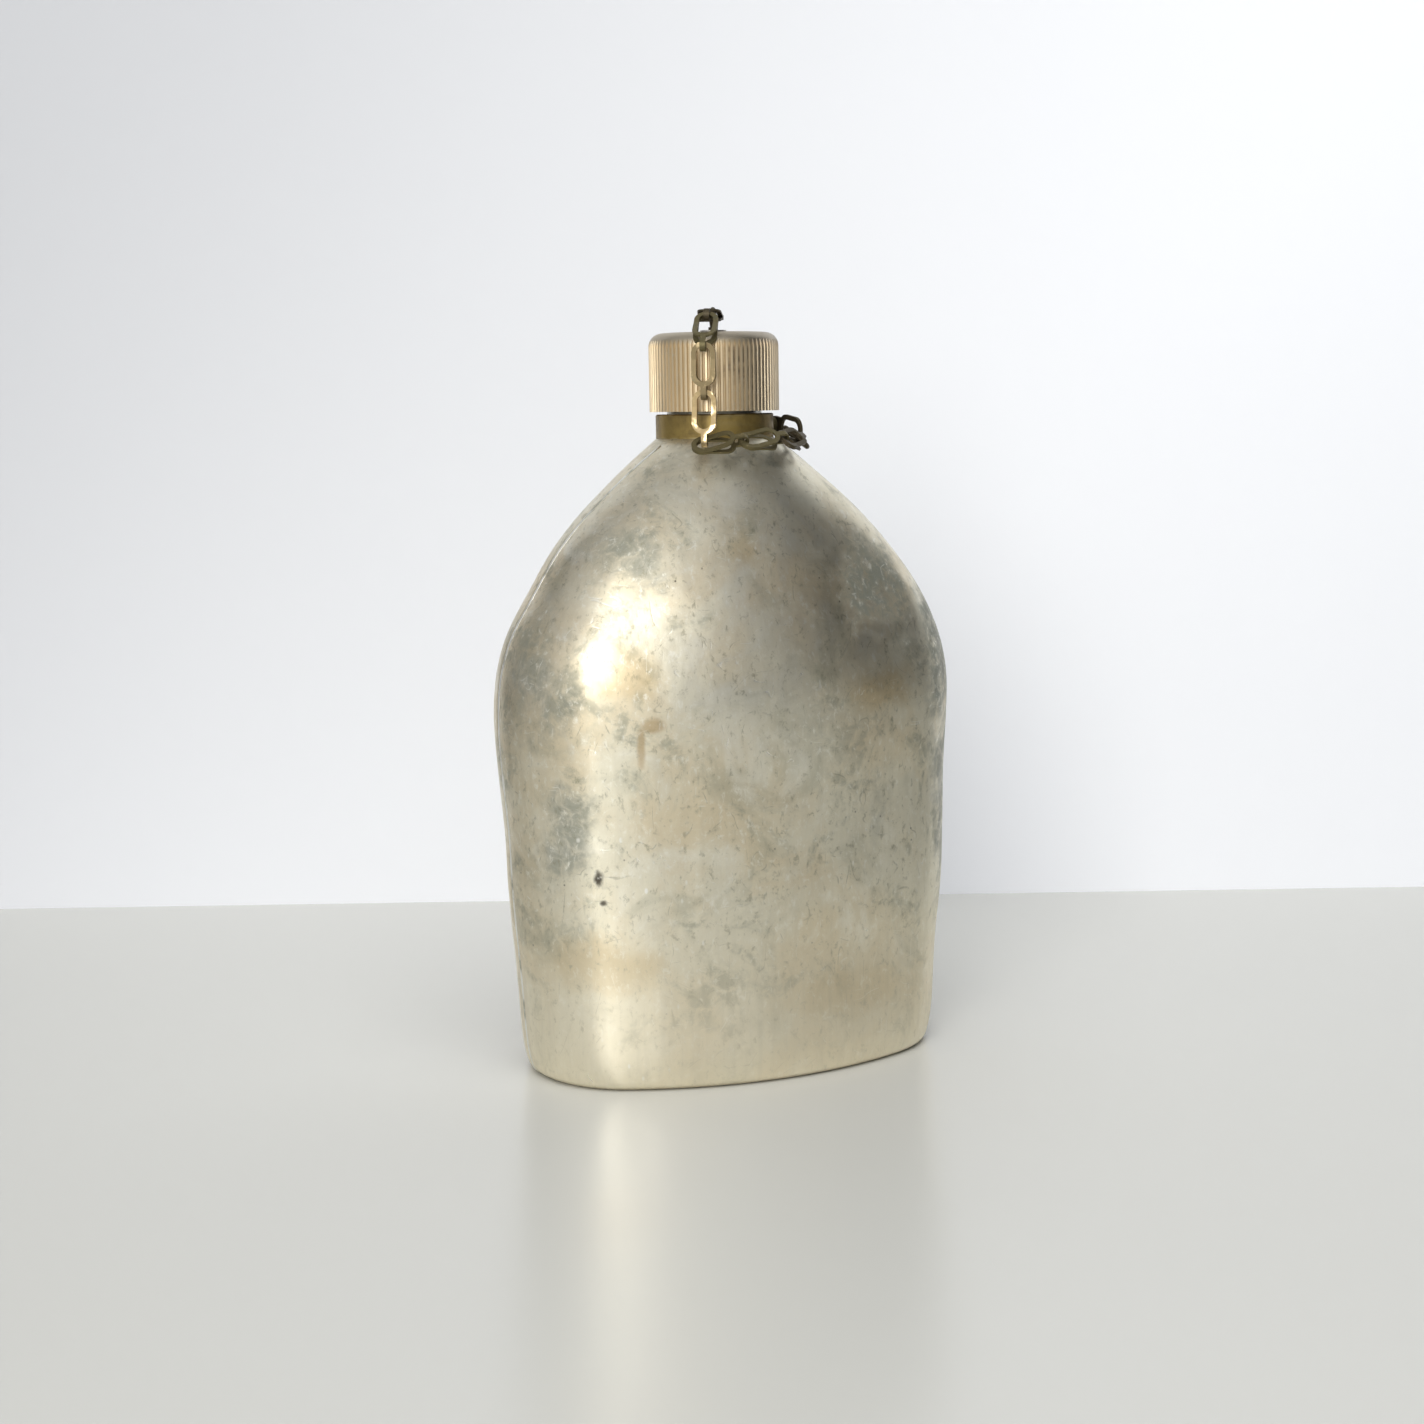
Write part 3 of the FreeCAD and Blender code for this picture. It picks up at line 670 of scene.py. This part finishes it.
def cork():
    """Pressed cork: packed granules with paler joints and dark flecks."""
    n = Nodes("cork")
    grains = n.cells(620)
    colour = n.layers((0.52, 0.34, 0.18), (
        (n.span(grains, 0.15, 0.55), (0.68, 0.49, 0.29)),
        (n.span(n.noise(900, 4), 0.55, 0.75, 0.0, 0.7), (0.22, 0.13, 0.07))))
    return n.finish(colour, 0.0, 0.85, n.bump(grains, 0.4, 0.0004))


def washer_metal():
    """Plain sheet aluminium with a dull, clouded face."""
    n = Nodes("washer_metal")
    clouds = n.noise(260, 5)
    colour = n.mix(n.span(clouds, 0.4, 0.65), (0.62, 0.60, 0.55), (0.40, 0.37, 0.30))
    return n.finish(colour, 0.9, n.span(clouds, 0.3, 0.7, 0.32, 0.5), n.bump(n.noise(700, 4), 0.2, 0.0001))


# ---------------------------------------------------------------- pieces
def build_bottle():
    """The two dented shells and the bead of weld over their joint."""
    tree = joined_tree(["front_shell", "back_shell"])
    front = bottle_half(tree, "front_sheet", math.pi, 2 * math.pi, "front_shell")
    back = bottle_half(tree, "back_sheet", 0.0, math.pi, "back_shell")
    bead = weld_bead(front)
    body = aged_aluminium()
    for piece in (front, back):
        piece.data.materials.append(body)
    bead.data.materials.append(weld_metal())


def dress(name, material, stamped):
    """Gives a CAD node its material, smooth shading by angle and, on stamped sheet, broken edges."""
    node = nodes[name]
    node.data.materials.clear()
    node.data.materials.append(material)
    for polygon in node.data.polygons:
        polygon.use_smooth = True
        polygon.material_index = 0
    node.data.set_sharp_from_angle(angle=SHARP_ANGLE)
    if stamped:
        edge = node.modifiers.new("edge", "BEVEL")
        edge.width = EDGE_ROUND
        edge.segments = EDGE_SEGMENTS
        edge.limit_method = "ANGLE"
        edge.angle_limit = SHARP_ANGLE


def dress_cad_nodes():
    """Materials of all the nodes that are shown as they are; the two hanging links are the palest."""
    bright = brass("bright_brass", (0.80, 0.63, 0.38), (0.36, 0.27, 0.14), 0.62)
    worn = brass("worn_brass", (0.76, 0.60, 0.35), (0.22, 0.17, 0.09), 0.95)
    dark = brass("dark_brass", (0.50, 0.41, 0.22), (0.16, 0.135, 0.065), 1.05)
    darkest = brass("darkest_brass", (0.36, 0.31, 0.22), (0.085, 0.068, 0.040), 1.2)
    finishes = (
        (cap_metal(), ("cap_shell",)),
        (neck_metal(), ("neck",)),
        (band_metal(), ("neck_band",)),
        (cork(), ("cap_gasket",)),
        (weld_metal(), ("neck_weld",)),
        (washer_metal(), ("gasket_washer", "top_washer")),
        (bright, ("link_4",)),
        (worn, ("link_3",)),
        (dark, ("link_2", "link_5", "link_6", "band_rivet", "band_spacer")),
        (darkest, ("link_1", "link_7", "end_ring", "anchor_link", "swivel_pin")),
    )
    for material, names in finishes:
        for name in names:
            stamped = name.startswith("link") or name in ("anchor_link", "neck_band", "top_washer")
            dress(name, material, stamped)


# ---------------------------------------------------------------- stage, light and camera
VIEW_AZIMUTH = math.radians(-22.0)
VIEW_DISTANCE = 0.605
VIEW_HEIGHT = 0.1798
VIEW_PITCH = math.radians(8.0)
VIEW_ROLL = math.radians(-0.9)
VIEW_SHIFT = -0.005
LENS = 55.6
SENSOR_WIDTH = 36.0

TABLE_COLOUR = (0.585, 0.58, 0.54)
TABLE_WIDTH = 4.0
TABLE_DEPTH = 2.5
TABLE_DROP = 0.00005
WALL_COLOUR = (0.89, 0.90, 0.93)
WALL_SHADE = 0.62
WALL_BEHIND = 0.185
WALL_WIDTH = 0.72
WALL_HEIGHT = 1.6
WALL_FOOT = 0.3

ROOM_COLOUR = (0.97, 0.98, 1.0)
ROOM_DARK = 0.02
ROOM_BRIGHT = 0.62
ROOM_SEEN = 0.80
WINDOW = {"azimuth": -37, "elevation": 22, "away": 1.5, "size": (0.60, 0.95),
          "power": 10.0, "colour": (1.0, 0.985, 0.95)}
WALL_FILL = {"azimuth": -10, "elevation": 60, "away": 1.6, "size": (1.2, 1.2),
             "power": 17.5, "colour": (0.95, 0.97, 1.0)}
LIT_POINT = Vector((0, 0, 0.10))


def direction(azimuth, elevation):
    """Unit vector toward an azimuth, counted from -Y toward +X, and an elevation, in degrees."""
    turn = math.radians(azimuth)
    lift = math.radians(elevation)
    return Vector((math.sin(turn) * math.cos(lift), -math.cos(turn) * math.cos(lift), math.sin(lift)))


def toward_camera():
    """Level unit vector from the neck's axis toward the camera."""
    return Vector((math.sin(VIEW_AZIMUTH), -math.cos(VIEW_AZIMUTH), 0))


def plain_surface(name, colour, roughness, specular, shade=0.0):
    """Painted surface; shade darkens it toward the upper left of the camera's view."""
    n = Nodes(name)
    cloud = n.noise(3.0, 3)
    tint = n.mix(n.span(cloud, 0.3, 0.7, 0.0, 0.25), colour, tuple(c * 0.96 for c in colour))
    if shade:
        across = n.times(n.part(0), math.cos(VIEW_AZIMUTH))
        sideways = n.plus(across, n.times(n.part(1), math.sin(VIEW_AZIMUTH)))
        slope = n.minus(sideways, n.times(n.part(2), 0.9))
        tint = n.mix(n.span(slope, 0.0, -0.62), tint, tuple(c * shade for c in colour))
    n.shader.inputs["Specular IOR Level"].default_value = specular
    return n.finish(tint, 0.0, roughness, n.bump(n.noise(900, 2), 0.03, 0.0002))


def clear_from_behind(material):
    """Lets the surface be seen through from its back, so that the object shows in views from behind."""
    tree = material.node_tree
    face = tree.nodes.new("ShaderNodeNewGeometry")
    clear = tree.nodes.new("ShaderNodeBsdfTransparent")
    choice = tree.nodes.new("ShaderNodeMixShader")
    tree.links.new(face.outputs["Backfacing"], choice.inputs["Fac"])
    tree.links.new(tree.nodes["Principled BSDF"].outputs["BSDF"], choice.inputs[1])
    tree.links.new(clear.outputs["BSDF"], choice.inputs[2])
    tree.links.new(choice.outputs["Shader"], tree.nodes["Material Output"].inputs["Surface"])


def plane(name, centre, along, up, width, height, material):
    """Flat part of the stage that rises or runs out from the middle of its lower edge."""
    mesh = bpy.data.meshes.new(name)
    half = along * width / 2
    rise = up * height
    corners = [centre - half, centre + half, centre + half + rise, centre - half + rise]
    mesh.from_pydata(corners, [], [(0, 1, 2, 3)])
    mesh.materials.append(material)
    linked(name, mesh)


def build_stage():
    """A pale table and a wall behind the object, square to the camera."""
    toward = toward_camera()
    across = UP.cross(toward)
    table = plain_surface("table_top", TABLE_COLOUR, 0.23, 0.55)
    wall = plain_surface("wall_paint", WALL_COLOUR, 0.9, 0.2, WALL_SHADE)
    clear_from_behind(wall)
    back = -toward * WALL_BEHIND
    plane("table", back - UP * TABLE_DROP, across, toward, TABLE_WIDTH, TABLE_DEPTH, table)
    plane("wall", back - UP * WALL_FOOT, across, UP, WALL_WIDTH, WALL_HEIGHT, wall)


def area_light(name, azimuth, elevation, away, size, power, colour):
    """Rectangular light at a direction and distance from the lit point, turned toward it."""
    light = bpy.data.lights.new(name, "AREA")
    light.shape = "RECTANGLE"
    light.size, light.size_y = size
    light.energy = power
    light.color = colour
    lamp = linked(name, light)
    lamp.location = LIT_POINT + direction(azimuth, elevation) * away
    lamp.rotation_euler = (LIT_POINT - lamp.location).to_track_quat("-Z", "Y").to_euler()
    return lamp


def build_world():
    """A dim room that is brighter toward the window, and pale where the camera sees it."""
    world = bpy.data.worlds.new("room")
    world.use_nodes = True
    tree = world.node_tree
    background = tree.nodes["Background"]
    coordinate = tree.nodes.new("ShaderNodeTexCoord")
    toward = tree.nodes.new("ShaderNodeVectorMath")
    toward.operation = "DOT_PRODUCT"
    toward.inputs[1].default_value = direction(-50, 20)
    tree.links.new(coordinate.outputs["Generated"], toward.inputs[0])
    ramp = tree.nodes.new("ShaderNodeMapRange")
    ramp.inputs["To Min"].default_value = ROOM_DARK
    ramp.inputs["To Max"].default_value = ROOM_BRIGHT
    tree.links.new(toward.outputs["Value"], ramp.inputs["Value"])
    path = tree.nodes.new("ShaderNodeLightPath")
    seen = tree.nodes.new("ShaderNodeMix")
    seen.inputs["B"].default_value = ROOM_SEEN
    tree.links.new(path.outputs["Is Camera Ray"], seen.inputs["Factor"])
    tree.links.new(ramp.outputs["Result"], seen.inputs["A"])
    tree.links.new(seen.outputs["Result"], background.inputs["Strength"])
    background.inputs["Color"].default_value = (*ROOM_COLOUR, 1)
    bpy.context.scene.world = world


def build_lights():
    """A window to the left, a soft fill from above that leaves no highlight, and the room."""
    area_light("window", **WINDOW)
    fill = area_light("wall_fill", **WALL_FILL)
    fill.visible_glossy = False
    build_world()


def build_camera():
    """The camera at the height and angle that show the object from its front left."""
    camera = bpy.data.cameras.new("camera")
    camera.lens = LENS
    camera.sensor_width = SENSOR_WIDTH
    camera.shift_x = VIEW_SHIFT
    eye = linked("camera", camera)
    place = toward_camera() * VIEW_DISTANCE + UP * VIEW_HEIGHT
    look = -toward_camera() * math.cos(VIEW_PITCH) - UP * math.sin(VIEW_PITCH)
    turn = look.to_track_quat("-Z", "Y").to_matrix().to_4x4()
    eye.matrix_world = Matrix.Translation(place) @ turn @ Matrix.Rotation(VIEW_ROLL, 4, "Z")
    bpy.context.scene.camera = eye
    bpy.context.scene.view_settings.view_transform = "Standard"


build_bottle()
dress_cad_nodes()
build_stage()
build_lights()
build_camera()
